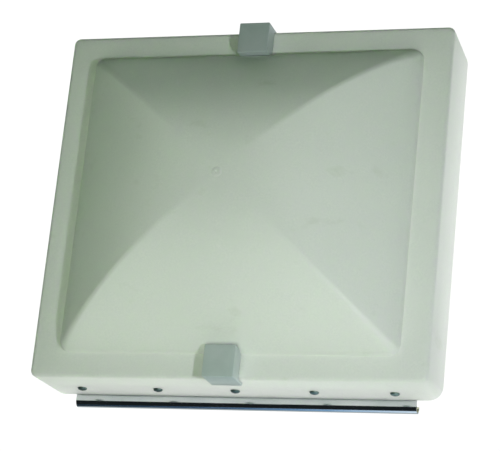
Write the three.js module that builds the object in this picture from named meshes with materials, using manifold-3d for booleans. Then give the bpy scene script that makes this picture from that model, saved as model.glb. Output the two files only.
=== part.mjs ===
// Roof vent cover for a caravan or motorhome: a moulded lid with a rolled hinge and a lift rail.
// Millimetres, +Z up. X runs along the hinge, the hinge is on the -Y side, and z = 0 is the
// underside of the hinge roll, on which the lid lies when it is put down.
import * as THREE from "three";
import { mergeVertices } from "three/addons/utils/BufferGeometryUtils.js";
import Module from "manifold-3d";

const wasm = await Module();
wasm.setup();

// ---- Driving dimensions ----
const GAP = 0.3; // left between pieces that touch
const PAST = 1; // how far a cutter runs past the face it opens, or a joined block into its neighbour
const LID_WIDTH = 410;
const LID_LENGTH = 370;
const SKIRT_DEPTH = 66;
const WALL = 2.5;
const CORNER_RADIUS = 10; // of the lid's outline, seen from above
const EDGE_RADIUS = 4; // from the rim down to the skirt
const RIM_SIDE = 29; // rim's width along the two sides
const RIM_END = 25.5; // and along the hinge side and the far side

const DOME_HEIGHT = 83; // apex above the rim
const DOME_STEP = 5; // near-upright foot of the dome
const DOME_STEP_RUN = 2;
const DOME_POWER = 2.7; // how full the four faces are: 1 is flat, 2 a parabola
const DOME_FOOT_RADIUS = 9; // corners of the dome at its foot
const RIDGE_RADIUS = 4;
const RIDGE_BLEND = 8; // power by which the foot's corners tighten into the ridges
const GATE_RADIUS = 6; // moulding gate mark on the apex
const GATE_HEIGHT = 0.9;
const GATE_TOP_SHARE = 0.7; // of its radius
const GATE_SINK = 0.5; // its flat underside lies below the crowned apex

const NOTCH_FROM = -9; // notch in the dome's foot beside the far clip
const NOTCH_TO = 31;
const NOTCH_DEPTH = 5;
const NOTCH_HEIGHT = 20; // past the dome's surface

const SHEET = 1; // hinge strip's sheet metal
const ROLL_RADIUS = 6; // outside of the hinge roll
const ROLL_LENGTH = 358;
const ROLL_WRAP = 204; // degrees of the circle that the roll closes
const STRIP_LENGTH = 372; // flange of the lid's half of the hinge
const STRIP_HEIGHT = 38;
const TRIM_UNDER = 0.8; // the strip's ends are trimmed back to this far in under the skirt
const BEAD_RADIUS = 4.6;

const BASE_SHEET = 1.5; // base's half of the hinge
const BASE_LENGTH = 354;
const WEB_ANGLE = 18; // degrees at which the web leaves the bead
const WEB_REACH = 8; // where the web levels off
const COLLAR_REACH = 19; // bead's centre to the middle of the upright flange
const BASE_FLANGE_TOP = 24; // above the bead's centre
const BASE_HOLE_COUNT = 5;
const BASE_HOLE_PITCH = 78;
const BASE_HOLE_RADIUS = 2.5;

const RIVET_COUNT = 5;
const RIVET_PITCH = 81.6;
const RIVET_DROP = 41; // rim to the row of rivets
const RIVET_SHANK_RADIUS = 1.6;
const RIVET_HEAD_RADIUS = 4.75;
const RIVET_HEAD_HEIGHT = 2.2;
const RIVET_BORE_RADIUS = 1;
const RIVET_BULB_RADIUS = 3;
const RIVET_BULB_LENGTH = 4.2;
const RIVET_END = 1.2; // closed end of the bulb
const MANDREL_RADIUS = 0.7;
const MANDREL_RECESS = 0.9; // face of the rivet's head to the snapped end

const CLIP_WIDTH = 32;
const CLIP_HEIGHT = 18; // above the rim
const CLIP_ON_DOME = 4.5; // how far it reaches over the dome's foot
const CLIP_LIP = 2.2; // thickness in front of the skirt
const CLIP_HOOK = 14; // how far the lip hangs below the rim
const CLIP_WALL = 2.2;
const CLIP_CORNER = 1;
const CLIP_BEVEL = 0.5;
const BOSS_RADIUS = 4;

const RAIL_WIDTH = 24;
const RAIL_HEIGHT = 9;
const RAIL_SHEET = 1.2;
const RAIL_SLOT = 12;
const RAIL_END_GAP = 4; // hinge strip or skirt to the rail's end

const SCREW_INSETS = [11, 20]; // from the lid's outer face, at each end of the rail
const SCREW_RADIUS = 1.6;
const SCREW_LENGTH = 12;
const SCREW_HEAD_RADIUS = 3.75;
const SCREW_HEAD_HEIGHT = 2.4;
const SCREW_HOLE_RADIUS = SCREW_RADIUS + GAP;

const SHOE_LENGTH = 34;
const SHOE_CORNER = 3;
const SHOE_PLAY = 0.4; // to each face of the rail
const SHOE_AT = -70; // where it rests with the lid shut, from the lid's middle
const NECK_WIDTH = 10;
const LUG_WIDTH = 8;
const LUG_LENGTH = 20;
const LUG_DROP = 15; // below the rail
const LUG_HOLE_RADIUS = 4;

// ---- Places worked out from them ----
const SKIRT_BOTTOM = 2 * ROLL_RADIUS + GAP;
const RIM_TOP = SKIRT_BOTTOM + SKIRT_DEPTH;
const RIM_UNDERSIDE = RIM_TOP - WALL;
const HALF_WIDTH = LID_WIDTH / 2;
const HALF_LENGTH = LID_LENGTH / 2;
const ROLL_Y = -HALF_LENGTH - ROLL_RADIUS + GAP;
const ROLL_Z = ROLL_RADIUS;
const STRIP_FACE_Y = -HALF_LENGTH + WALL + GAP; // strip's face against the skirt
const RIVET_Z = RIM_TOP - RIVET_DROP;
const RAIL_TOP = RIM_UNDERSIDE - GAP;
const RAIL_BOTTOM = RAIL_TOP - RAIL_HEIGHT;
const RAIL_FRONT = STRIP_FACE_Y + SHEET + RAIL_END_GAP;
const RAIL_REAR = HALF_LENGTH - WALL - RAIL_END_GAP;
const FRONT_REACH = ROLL_RADIUS - ROLL_Y;
const REAR_REACH = HALF_LENGTH + GAP + CLIP_LIP;
const LID_CENTRE_Y = (FRONT_REACH - REAR_REACH) / 2; // so that the whole is centred on y = 0

const radians = THREE.MathUtils.degToRad;

// ---- Materials ----
const finish = (color, roughness, metalness, opacity = 1) =>
  new THREE.MeshStandardMaterial({ color, roughness, metalness, opacity, transparent: opacity < 1 });
const polypropylene = finish(0xd6ddd6, 0.55, 0);
const clearPlastic = finish(0xb4c4bf, 0.3, 0, 0.8);
const platedSteel = finish(0xc3ccd2, 0.2, 1);
const rivetMetal = finish(0x4c5f5a, 0.4, 0.9);
const mandrelSteel = finish(0x6d7472, 0.45, 1);
const railMetal = finish(0xaab1b4, 0.4, 1);
const screwSteel = finish(0x9aa0a3, 0.35, 1);
const nylon = finish(0xe8e6da, 0.5, 0);

// ---- Solids ----
function toSolid(geometry) {
  const bare = geometry.clone();
  bare.deleteAttribute("normal");
  bare.deleteAttribute("uv");
  const merged = mergeVertices(bare, 1e-3);
  return new wasm.Manifold(
    new wasm.Mesh({
      numProp: 3,
      vertProperties: new Float32Array(merged.attributes.position.array),
      triVerts: new Uint32Array(merged.index.array),
    }),
  );
}

function toGeometry(solid) {
  const mesh = solid.getMesh();
  const indexed = new THREE.BufferGeometry();
  indexed.setAttribute("position", new THREE.BufferAttribute(mesh.vertProperties, 3));
  indexed.setIndex(new THREE.BufferAttribute(mesh.triVerts, 1));
  const faceted = indexed.toNonIndexed();
  faceted.computeVertexNormals();
  return faceted;
}

function joined(first, ...others) {
  return toGeometry(others.reduce((sum, other) => sum.add(toSolid(other)), toSolid(first)));
}

function cut(blank, ...tools) {
  return toGeometry(tools.reduce((rest, tool) => rest.subtract(toSolid(tool)), toSolid(blank)));
}

function box(low, high) {
  const [x, y, z] = high.map((value, axis) => value - low[axis]);
  const geometry = new THREE.BoxGeometry(x, y, z);
  return geometry.translate(low[0] + x / 2, low[1] + y / 2, low[2] + z / 2);
}

// A rod along Z, from one height to another.
function rod(radius, from, to, sides = 24) {
  const geometry = new THREE.CylinderGeometry(radius, radius, to - from, sides);
  return geometry.rotateX(Math.PI / 2).translate(0, 0, (from + to) / 2);
}

// A solid of revolution about Z. Its profile, as [radius, height] points, starts and ends on the axis.
function turned(profile, sides = 16) {
  const points = profile.map(([radius, height]) => new THREE.Vector2(radius, height));
  return new THREE.LatheGeometry(points, sides).rotateX(Math.PI / 2);
}

// An outline in (y, z), extruded along X and centred on x = 0.
function alongX(shape, length, curveSegments = 12) {
  const geometry = new THREE.ExtrudeGeometry(shape, { depth: length, bevelEnabled: false, curveSegments });
  return geometry.rotateX(Math.PI / 2).rotateZ(Math.PI / 2).translate(-length / 2, 0, 0);
}

function roundedRectangle(halfWidth, halfLength, radius) {
  const shape = new THREE.Shape();
  shape.absarc(halfWidth - radius, halfLength - radius, radius, 0, Math.PI / 2);
  shape.absarc(radius - halfWidth, halfLength - radius, radius, Math.PI / 2, Math.PI);
  shape.absarc(radius - halfWidth, radius - halfLength, radius, Math.PI, 1.5 * Math.PI);
  shape.absarc(halfWidth - radius, radius - halfLength, radius, 1.5 * Math.PI, 2 * Math.PI);
  return shape;
}

// ---- Lid shell ----
const ARC_POINTS = 5; // points on each rounded corner of a ring
const EDGE_STEPS = 4;
const DOME_RINGS = 14;
const SMALLEST_RADIUS = 0.5; // left on the ridges where the wall's thickness is taken off
const DOME_HALF_WIDTH = HALF_WIDTH - RIM_SIDE - DOME_STEP_RUN;
const DOME_HALF_LENGTH = HALF_LENGTH - RIM_END - DOME_STEP_RUN;

// The lid's surface as level rounded rectangles from the skirt up to the apex, each moved
// outwards by `grow` at right angles to the surface.
function lidRings(grow, bottom) {
  const rings = [];
  const edgeRing = (angle) => {
    const reach = (EDGE_RADIUS + grow) * Math.cos(angle) - EDGE_RADIUS;
    const height = RIM_TOP - EDGE_RADIUS + (EDGE_RADIUS + grow) * Math.sin(angle);
    return [HALF_WIDTH + reach, HALF_LENGTH + reach, CORNER_RADIUS + reach, height];
  };
  rings.push([HALF_WIDTH + grow, HALF_LENGTH + grow, CORNER_RADIUS + grow, bottom]);
  for (let step = 0; step <= EDGE_STEPS; step++) rings.push(edgeRing((step / EDGE_STEPS) * (Math.PI / 2)));

  const footReach = HALF_WIDTH - RIM_SIDE;
  const footLength = HALF_LENGTH - RIM_END;
  const footCorner = DOME_FOOT_RADIUS + DOME_STEP_RUN;
  rings.push([footReach + grow, footLength + grow, footCorner + grow, RIM_TOP + grow]);
  for (let step = 0; step <= DOME_RINGS; step++) {
    const part = Math.cos((step / (DOME_RINGS + 1)) * (Math.PI / 2));
    const rise = (DOME_HEIGHT - DOME_STEP) * (1 - part ** DOME_POWER);
    const slope = ((DOME_HEIGHT - DOME_STEP) * DOME_POWER * part ** (DOME_POWER - 1)) / DOME_HALF_WIDTH;
    const steepness = Math.atan(slope);
    const corner = RIDGE_RADIUS + (DOME_FOOT_RADIUS - RIDGE_RADIUS) * part ** RIDGE_BLEND;
    const outwards = grow * Math.sin(steepness);
    const upwards = grow * Math.cos(steepness);
    rings.push([
      DOME_HALF_WIDTH * part + outwards,
      DOME_HALF_LENGTH * part + outwards,
      Math.max(corner + outwards, SMALLEST_RADIUS),
      RIM_TOP + DOME_STEP + rise + upwards,
    ]);
  }
  return rings;
}

function ringPoints([halfWidth, halfLength, radius, height]) {
  const points = [];
  for (let corner = 0; corner < 4; corner++) {
    const signX = corner === 0 || corner === 3 ? 1 : -1;
    const signY = corner < 2 ? 1 : -1;
    for (let step = 0; step <= ARC_POINTS; step++) {
      const angle = (corner + step / ARC_POINTS) * (Math.PI / 2);
      points.push([
        signX * (halfWidth - radius) + radius * Math.cos(angle),
        signY * (halfLength - radius) + radius * Math.sin(angle),
        height,
      ]);
    }
  }
  return points;
}

// A closed solid through level rings, with a flat bottom and a top that closes on one point.
function loft(rings, topHeight) {
  const loops = rings.map(ringPoints);
  const count = loops[0].length;
  const vertices = loops.flat();
  const bottomCentre = vertices.push([0, 0, rings[0][3]]) - 1;
  const topCentre = vertices.push([0, 0, topHeight]) - 1;
  const faces = [];
  for (let i = 0; i < count; i++) {
    const next = (i + 1) % count;
    faces.push([bottomCentre, next, i]);
    for (let ring = 0; ring + 1 < loops.length; ring++) {
      const lower = ring * count;
      const upper = lower + count;
      faces.push([lower + i, lower + next, upper + next]);
      faces.push([lower + i, upper + next, upper + i]);
    }
    const last = (loops.length - 1) * count;
    faces.push([last + i, last + next, topCentre]);
  }
  const geometry = new THREE.BufferGeometry();
  geometry.setAttribute("position", new THREE.Float32BufferAttribute(vertices.flat(), 3));
  geometry.setIndex(faces.flat());
  return geometry;
}

const lidBody = (grow, bottom) => loft(lidRings(grow, bottom), RIM_TOP + DOME_HEIGHT + grow);

// Places along X of a row that is centred on the lid.
const row = (count, pitch) => Array.from({ length: count }, (_, i) => (i - (count - 1) / 2) * pitch);
const everyRivet = () => row(RIVET_COUNT, RIVET_PITCH);

// Screw places as [end of the rail, y], with the end as -1 at the hinge and +1 opposite.
function everyScrew() {
  return [-1, 1].flatMap((end) => SCREW_INSETS.map((inset) => [end, end * (HALF_LENGTH - inset)]));
}

// The room that the notch takes out of the dome's foot, or with `grow` the wall that lines it too.
function footNotch(grow) {
  const foot = HALF_LENGTH - RIM_END;
  return box(
    [NOTCH_FROM - grow, foot - NOTCH_DEPTH - grow, RIM_TOP - grow],
    [NOTCH_TO + grow, foot + PAST, RIM_TOP + NOTCH_HEIGHT],
  );
}

// A rivet hole along Y through the skirt and the hinge strip.
function rivetHole(x) {
  const hole = rod(RIVET_SHANK_RADIUS + GAP, -HALF_LENGTH - PAST, STRIP_FACE_Y + SHEET + PAST, 20);
  return hole.rotateX(-Math.PI / 2).translate(x, 0, RIVET_Z);
}

function lidShell() {
  const gateTop = GATE_RADIUS * GATE_TOP_SHARE;
  const gateMark = turned([[0, 0], [GATE_RADIUS, 0], [gateTop, GATE_HEIGHT], [0, GATE_HEIGHT]]);
  gateMark.translate(0, 0, RIM_TOP + DOME_HEIGHT - GATE_SINK);
  const hollow = cut(lidBody(-WALL, SKIRT_BOTTOM - PAST), footNotch(WALL));
  const solid = joined(lidBody(0, SKIRT_BOTTOM), gateMark);
  const screwHoles = everyScrew().map(([, y]) =>
    rod(SCREW_HOLE_RADIUS, RIM_UNDERSIDE - PAST, RIM_TOP + PAST, 20).translate(0, y, 0),
  );
  return cut(solid, hollow, footNotch(0), ...everyRivet().map(rivetHole), ...screwHoles);
}

// ---- Hinge ----
// The lid's half: a flange inside the skirt that turns out under its edge and rolls into a tube.
function hingeLidStrip() {
  const inner = ROLL_RADIUS - SHEET;
  const wrapEnd = radians(90 + ROLL_WRAP);
  const section = new THREE.Shape();
  section.moveTo(STRIP_FACE_Y + SHEET, ROLL_Z + inner);
  section.lineTo(STRIP_FACE_Y + SHEET, SKIRT_BOTTOM + STRIP_HEIGHT);
  section.lineTo(STRIP_FACE_Y, SKIRT_BOTTOM + STRIP_HEIGHT);
  section.lineTo(STRIP_FACE_Y, ROLL_Z + ROLL_RADIUS);
  section.absarc(ROLL_Y, ROLL_Z, ROLL_RADIUS, Math.PI / 2, wrapEnd, false);
  section.absarc(ROLL_Y, ROLL_Z, inner, wrapEnd, Math.PI / 2, true);
  section.closePath();
  const blank = alongX(section, STRIP_LENGTH, 16);

  // The roll is shorter than the flange, so both ends of it are trimmed back.
  const trim = (side) => {
    const ends = [(side * ROLL_LENGTH) / 2, side * STRIP_LENGTH].sort((a, b) => a - b);
    const low = [ends[0], ROLL_Y - ROLL_RADIUS - PAST, -PAST];
    return box(low, [ends[1], TRIM_UNDER - HALF_LENGTH, SKIRT_BOTTOM]);
  };
  return cut(blank, trim(-1), trim(1), ...everyRivet().map(rivetHole));
}

// The base's half: a bead that turns in the roll, a web, and an upright flange for the collar.
function hingeBaseStrip() {
  const half = BASE_SHEET / 2;
  const webZ = ROLL_Z + WEB_REACH * Math.tan(radians(WEB_ANGLE));
  const start = new THREE.Vector2(-Math.sin(radians(WEB_ANGLE)), Math.cos(radians(WEB_ANGLE)));
  const flangeY = ROLL_Y + COLLAR_REACH;
  const section = new THREE.Shape();
  section.moveTo(ROLL_Y - start.x * half, ROLL_Z - start.y * half);
  section.lineTo(ROLL_Y + WEB_REACH, webZ - half);
  section.lineTo(flangeY + half, webZ - half);
  section.lineTo(flangeY + half, ROLL_Z + BASE_FLANGE_TOP);
  section.lineTo(flangeY - half, ROLL_Z + BASE_FLANGE_TOP);
  section.lineTo(flangeY - half, webZ + half);
  section.lineTo(ROLL_Y + WEB_REACH, webZ + half);
  section.lineTo(ROLL_Y + start.x * half, ROLL_Z + start.y * half);
  section.closePath();
  const bead = rod(BEAD_RADIUS, -BASE_LENGTH / 2, BASE_LENGTH / 2, 28);
  bead.rotateY(Math.PI / 2).translate(0, ROLL_Y, ROLL_Z);

  const holeZ = (webZ + ROLL_Z + BASE_FLANGE_TOP) / 2;
  const holes = row(BASE_HOLE_COUNT, BASE_HOLE_PITCH).map((x) => {
    const hole = rod(BASE_HOLE_RADIUS, flangeY - half - PAST, flangeY + half + PAST, 20);
    return hole.rotateX(-Math.PI / 2).translate(x, 0, holeZ);
  });
  return cut(joined(alongX(section, BASE_LENGTH), bead), ...holes);
}

// ---- Blind rivets ----
// Turned about Z with the head's underside at z = 0 and the blind end above, then laid along Y.
const asRivet = (geometry, x) =>
  geometry.rotateX(-Math.PI / 2).translate(x, -HALF_LENGTH - GAP / 2, RIVET_Z);
const GRIP = GAP / 2 + WALL + GAP + SHEET + GAP / 2; // head's underside to the blind end's bulb
const BULB_TOP = GRIP + RIVET_BULB_LENGTH;

function rivet(x) {
  // The head is domed and the bulb is barrel-shaped, each in shares of its radius and height.
  const profile = [
    [0, BULB_TOP - RIVET_END],
    [RIVET_BORE_RADIUS, BULB_TOP - RIVET_END],
    [RIVET_BORE_RADIUS, -RIVET_HEAD_HEIGHT],
    [RIVET_HEAD_RADIUS * 0.72, -RIVET_HEAD_HEIGHT * 0.8],
    [RIVET_HEAD_RADIUS * 0.93, -RIVET_HEAD_HEIGHT * 0.4],
    [RIVET_HEAD_RADIUS, 0],
    [RIVET_SHANK_RADIUS, 0],
    [RIVET_SHANK_RADIUS, GRIP],
    [RIVET_BULB_RADIUS * 0.8, GRIP],
    [RIVET_BULB_RADIUS, GRIP + RIVET_BULB_LENGTH * 0.35],
    [RIVET_BULB_RADIUS * 0.75, GRIP + RIVET_BULB_LENGTH * 0.8],
    [RIVET_BORE_RADIUS, BULB_TOP],
    [0, BULB_TOP],
  ];
  return asRivet(turned(profile), x);
}

// The broken-off pin that stays in the rivet's bore.
function mandrel(x) {
  const snappedEnd = MANDREL_RECESS - RIVET_HEAD_HEIGHT;
  return asRivet(rod(MANDREL_RADIUS, snappedEnd, BULB_TOP - RIVET_END - GAP, 16), x);
}

// ---- Edge clips ----
// A moulded cap over the rim's middle, open below, with a lip in front of the skirt and bosses for
// the rail's screws. Built for the far side; the hinge side's is the same piece turned round.
function edgeClip(end) {
  const outerY = HALF_LENGTH + GAP + CLIP_LIP;
  const innerY = HALF_LENGTH - RIM_END - CLIP_ON_DOME;
  const middleY = (outerY + innerY) / 2;
  const top = RIM_TOP + CLIP_HEIGHT;
  const halfWidth = CLIP_WIDTH / 2;
  const halfLength = (outerY - innerY) / 2;
  const outline = roundedRectangle(halfWidth - CLIP_BEVEL, halfLength - CLIP_BEVEL, CLIP_CORNER);
  const block = new THREE.ExtrudeGeometry(outline, {
    depth: CLIP_HEIGHT + CLIP_HOOK - 2 * CLIP_BEVEL,
    bevelThickness: CLIP_BEVEL,
    bevelSize: CLIP_BEVEL,
    bevelSegments: 2,
    curveSegments: 4,
  }).translate(0, middleY, RIM_TOP - CLIP_HOOK + CLIP_BEVEL);
  const cavity = box(
    [CLIP_WALL - halfWidth, innerY + CLIP_WALL, RIM_TOP - CLIP_HOOK - PAST],
    [halfWidth - CLIP_WALL, HALF_LENGTH - PAST, top - CLIP_WALL],
  );
  const screwTip = RAIL_TOP - RAIL_SHEET - GAP + SCREW_LENGTH;
  const bosses = SCREW_INSETS.map((inset) =>
    rod(BOSS_RADIUS, RIM_TOP - PAST, top - PAST, 16).translate(0, HALF_LENGTH - inset, 0),
  );
  const bores = SCREW_INSETS.map((inset) =>
    rod(SCREW_HOLE_RADIUS, RIM_TOP - PAST, screwTip + GAP, 12).translate(0, HALF_LENGTH - inset, 0),
  );
  const bossed = joined(cut(block, cavity), ...bosses);
  const clip = cut(bossed, lidBody(GAP, SKIRT_BOTTOM), ...bores);
  return end > 0 ? clip : clip.rotateZ(Math.PI);
}

// ---- Lift rail, its screws and the shoe that runs in it ----
// A channel open below, hung under the rim from the hinge side to the far side.
function liftRail() {
  const half = RAIL_WIDTH / 2;
  const slot = RAIL_SLOT / 2;
  const section = new THREE.Shape();
  section.moveTo(-half, RAIL_BOTTOM);
  section.lineTo(-slot, RAIL_BOTTOM);
  section.lineTo(-slot, RAIL_BOTTOM + RAIL_SHEET);
  section.lineTo(RAIL_SHEET - half, RAIL_BOTTOM + RAIL_SHEET);
  section.lineTo(RAIL_SHEET - half, RAIL_TOP - RAIL_SHEET);
  section.lineTo(half - RAIL_SHEET, RAIL_TOP - RAIL_SHEET);
  section.lineTo(half - RAIL_SHEET, RAIL_BOTTOM + RAIL_SHEET);
  section.lineTo(slot, RAIL_BOTTOM + RAIL_SHEET);
  section.lineTo(slot, RAIL_BOTTOM);
  section.lineTo(half, RAIL_BOTTOM);
  section.lineTo(half, RAIL_TOP);
  section.lineTo(-half, RAIL_TOP);
  section.closePath();
  const length = RAIL_REAR - RAIL_FRONT;
  const channel = new THREE.ExtrudeGeometry(section, { depth: length, bevelEnabled: false });
  channel.rotateX(Math.PI / 2).translate(0, RAIL_REAR, 0);
  const holes = everyScrew().map(([, y]) =>
    rod(SCREW_HOLE_RADIUS, RAIL_TOP - RAIL_SHEET - PAST, RAIL_TOP + PAST, 20).translate(0, y, 0),
  );
  return cut(channel, ...holes);
}

// A self-tapping screw that points up from inside the rail.
function railScrew(y) {
  const seat = RAIL_TOP - RAIL_SHEET - GAP;
  const profile = [
    [0, -SCREW_HEAD_HEIGHT],
    [SCREW_HEAD_RADIUS * 0.75, -SCREW_HEAD_HEIGHT],
    [SCREW_HEAD_RADIUS, -SCREW_HEAD_HEIGHT * 0.5],
    [SCREW_HEAD_RADIUS, 0],
    [SCREW_RADIUS, 0],
    [SCREW_RADIUS, SCREW_LENGTH - 2 * SCREW_RADIUS],
    [0, SCREW_LENGTH],
  ];
  return turned(profile).translate(0, y, seat);
}

// A slider inside the rail, with a lug below the slot for the pin of the vent's lift arm.
function liftShoe() {
  const halfWidth = RAIL_WIDTH / 2 - RAIL_SHEET - SHOE_PLAY;
  const floor = RAIL_BOTTOM + RAIL_SHEET + SHOE_PLAY;
  const ceiling = RAIL_TOP - RAIL_SHEET - SHOE_PLAY;
  const outline = roundedRectangle(halfWidth, SHOE_LENGTH / 2, SHOE_CORNER);
  const slider = new THREE.ExtrudeGeometry(outline, {
    depth: ceiling - floor,
    bevelEnabled: false,
    curveSegments: 4,
  }).translate(0, 0, floor);

  const halfLug = LUG_LENGTH / 2;
  const lugMiddle = RAIL_BOTTOM - LUG_DROP + halfLug;
  const side = new THREE.Shape();
  side.moveTo(halfLug, floor + PAST);
  side.lineTo(-halfLug, floor + PAST);
  side.lineTo(-halfLug, lugMiddle);
  side.absarc(0, lugMiddle, halfLug, Math.PI, 2 * Math.PI);
  side.closePath();
  const lug = alongX(side, LUG_WIDTH, 12);
  const neckLow = [-NECK_WIDTH / 2, -halfLug, RAIL_BOTTOM - PAST];
  const neck = box(neckLow, [NECK_WIDTH / 2, halfLug, floor + PAST]);
  const pinHole = rod(LUG_HOLE_RADIUS, -LUG_WIDTH, LUG_WIDTH, 24).rotateY(Math.PI / 2);
  const shoe = cut(joined(slider, lug, neck), pinHole.translate(0, 0, lugMiddle));
  return shoe.translate(0, SHOE_AT, 0);
}

// ---- Assembly ----
const cover = new THREE.Group();
cover.position.y = LID_CENTRE_Y;

function add(name, geometry, material) {
  const mesh = new THREE.Mesh(geometry, material);
  mesh.name = name;
  cover.add(mesh);
}

add("lid_shell", lidShell(), polypropylene);
add("hinge_lid_strip", hingeLidStrip(), platedSteel);
add("hinge_base_strip", hingeBaseStrip(), platedSteel);
everyRivet().forEach((x, i) => {
  add(`hinge_rivet_${i + 1}`, rivet(x), rivetMetal);
  add(`rivet_mandrel_${i + 1}`, mandrel(x), mandrelSteel);
});
add("edge_clip_hinge_side", edgeClip(-1), clearPlastic);
add("edge_clip_far_side", edgeClip(1), clearPlastic);
add("lift_rail", liftRail(), railMetal);
everyScrew().forEach(([end, y], i) => {
  const side = end < 0 ? "hinge_side" : "far_side";
  add(`rail_screw_${side}_${(i % SCREW_INSETS.length) + 1}`, railScrew(y), screwSteel);
});
add("lift_shoe", liftShoe(), nylon);

export default cover;
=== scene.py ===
import itertools
import math

import bmesh
import bpy
from mathutils import Matrix, Vector


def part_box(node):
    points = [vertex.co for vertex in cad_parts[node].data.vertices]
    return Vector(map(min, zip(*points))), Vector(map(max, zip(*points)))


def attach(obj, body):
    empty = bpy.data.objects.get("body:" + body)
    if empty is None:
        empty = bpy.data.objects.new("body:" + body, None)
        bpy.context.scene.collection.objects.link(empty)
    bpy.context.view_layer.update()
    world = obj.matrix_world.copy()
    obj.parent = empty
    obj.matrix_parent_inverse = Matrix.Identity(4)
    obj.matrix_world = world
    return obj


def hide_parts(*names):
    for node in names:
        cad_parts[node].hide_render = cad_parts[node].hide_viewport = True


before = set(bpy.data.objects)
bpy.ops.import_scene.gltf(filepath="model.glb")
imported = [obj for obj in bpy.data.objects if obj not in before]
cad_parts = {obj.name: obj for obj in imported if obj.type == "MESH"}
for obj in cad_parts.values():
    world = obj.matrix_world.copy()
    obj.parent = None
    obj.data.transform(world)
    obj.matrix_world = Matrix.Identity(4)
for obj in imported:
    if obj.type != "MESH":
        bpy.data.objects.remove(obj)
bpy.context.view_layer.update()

MM = 0.001
FINE = "_fine"  # ends the names of the fine pieces and materials
scene = bpy.context.scene

# ---- Sizes taken from the frame, in mm ----
shell_low, shell_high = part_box("lid_shell")
HALF_WIDTH = (shell_high.x - shell_low.x) / 2 / MM
HALF_LENGTH = (shell_high.y - shell_low.y) / 2 / MM
LID_CENTRE_Y = (shell_high.y + shell_low.y) / 2 / MM
SKIRT_BOTTOM = shell_low.z / MM

# ---- Sizes of the lid, in mm ----
GAP = 0.3  # between pieces that touch
PAST = 1  # how far a cutter runs past the face it opens
SKIRT_DEPTH = 66
WALL = 2.5
LIP_ROUND = 0.7  # round along the skirt's lower edge
CORNER_RADIUS = 7  # of the outline at the rim
CORNER_FOOT = 14  # and at the skirt's lower edge
EDGE_RADIUS = 4
RIM_SIDE = 29
RIM_END = 25.5
DOME_HEIGHT = 83
DOME_STEP = 5
DOME_STEP_RUN = 2
DOME_POWER = 2.7
DOME_FOOT_RADIUS = 9
RIDGE_RADIUS = 4
RIDGE_BLEND = 8
SMALLEST_RADIUS = 0.5
LARGEST_CORNER = 0.9  # the most a ring's corner radius may be, as a share of its half width
GATE_RADIUS = 6
GATE_HEIGHT = 0.9
GATE_SINK = 0.5
# The gate mark's profile, as shares of its radius and of its height.
GATE_PROFILE = [(0, 0), (1, 0), (0.9, 0.45), (0.78, 0.85), (0.6, 1), (0.22, 1), (0.16, 0.6), (0, 0.6)]
NOTCH_FROM = -9
NOTCH_TO = 31
NOTCH_DEPTH = 5
NOTCH_HEIGHT = 20
RIM_TOP = SKIRT_BOTTOM + SKIRT_DEPTH
RIM_UNDERSIDE = RIM_TOP - WALL
DOME_HALF_WIDTH = HALF_WIDTH - RIM_SIDE - DOME_STEP_RUN
DOME_HALF_LENGTH = HALF_LENGTH - RIM_END - DOME_STEP_RUN

# ---- Sizes of the hinge and its rivets ----
SHEET = 1
ROLL_RADIUS = 6
ROLL_LENGTH = 358
ROLL_WRAP = 204  # degrees
STRIP_LENGTH = 372
STRIP_HEIGHT = 38
TRIM_UNDER = 0.8  # the strip's ends are trimmed back to this far in under the skirt
BEND_RADIUS = 1.6  # outside of the strip's bend under the skirt
BEND_STEPS = 6
BASE_BEND_STEPS = 8
ROLL_STEPS = 56
BEAD_RADIUS = 4.6
BEAD_SIDES = 64
CORE_RADIUS = 1.1  # hole left in the middle of the rolled bead
CORE_RISE = 2.4
CORE_DEPTH = 6
SMALL_SIDES = 24  # sides of a small round piece
BASE_SHEET = 1.5
BASE_LENGTH = 354
WEB_ANGLE = 18  # degrees
WEB_REACH = 8
COLLAR_REACH = 19  # from the bead's centre to the middle of the upright flange
BASE_BEND = 0.6  # middle radius of the base strip's bend, as a share of its sheet
BASE_FLANGE_TOP = 24
BASE_HOLE_COUNT = 5
BASE_HOLE_PITCH = 78
BASE_HOLE_RADIUS = 2.5
ROLL_Y = -HALF_LENGTH - ROLL_RADIUS + GAP
ROLL_Z = ROLL_RADIUS
STRIP_FACE_Y = -HALF_LENGTH + WALL + GAP

RIVET_COUNT = 5
RIVET_PITCH = 81.6
RIVET_DROP = 41
RIVET_Z = RIM_TOP - RIVET_DROP
RIVET_SHANK_RADIUS = 1.6
RIVET_HEAD_RADIUS = 4.75
RIVET_HEAD_HEIGHT = 2.2
RIVET_HEAD_RIM = 0.35  # height of the head where its dome ends
RIVET_HEAD_FOOT = 0.2  # height of the head's straight edge
RIVET_HEAD_DRAW = 0.1  # the dome ends this far inside the head's edge
RIVET_HEAD_STEPS = 8
RIVET_BORE_RADIUS = 1
RIVET_BORE_BREAK = 0.25
RIVET_BORE_LIP = 0.7  # from the bore to where the dome starts
RIVET_BULB_RADIUS = 3
RIVET_BULB_LENGTH = 4.2
RIVET_BULB_STEPS = 10
RIVET_BULB_FROM = 0.2  # the part of a half wave that the bulb follows
RIVET_BULB_SPAN = 0.72
RIVET_BULB_POWER = 0.7
RIVET_TAIL = 1.2  # the bore stops this far from the tail's end
MANDREL_RADIUS = 0.7
MANDREL_RECESS = 0.9
# The pin's two ends, as shares of its radius and mm from the break and from its far end.
MANDREL_BREAK = [(0, 0.12), (0.45, 0), (0.78, 0.1), (1, 0.6)]
MANDREL_END = [(1, -0.2), (0.8, 0), (0, 0)]
GRIP = GAP / 2 + WALL + GAP + SHEET + GAP / 2

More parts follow.
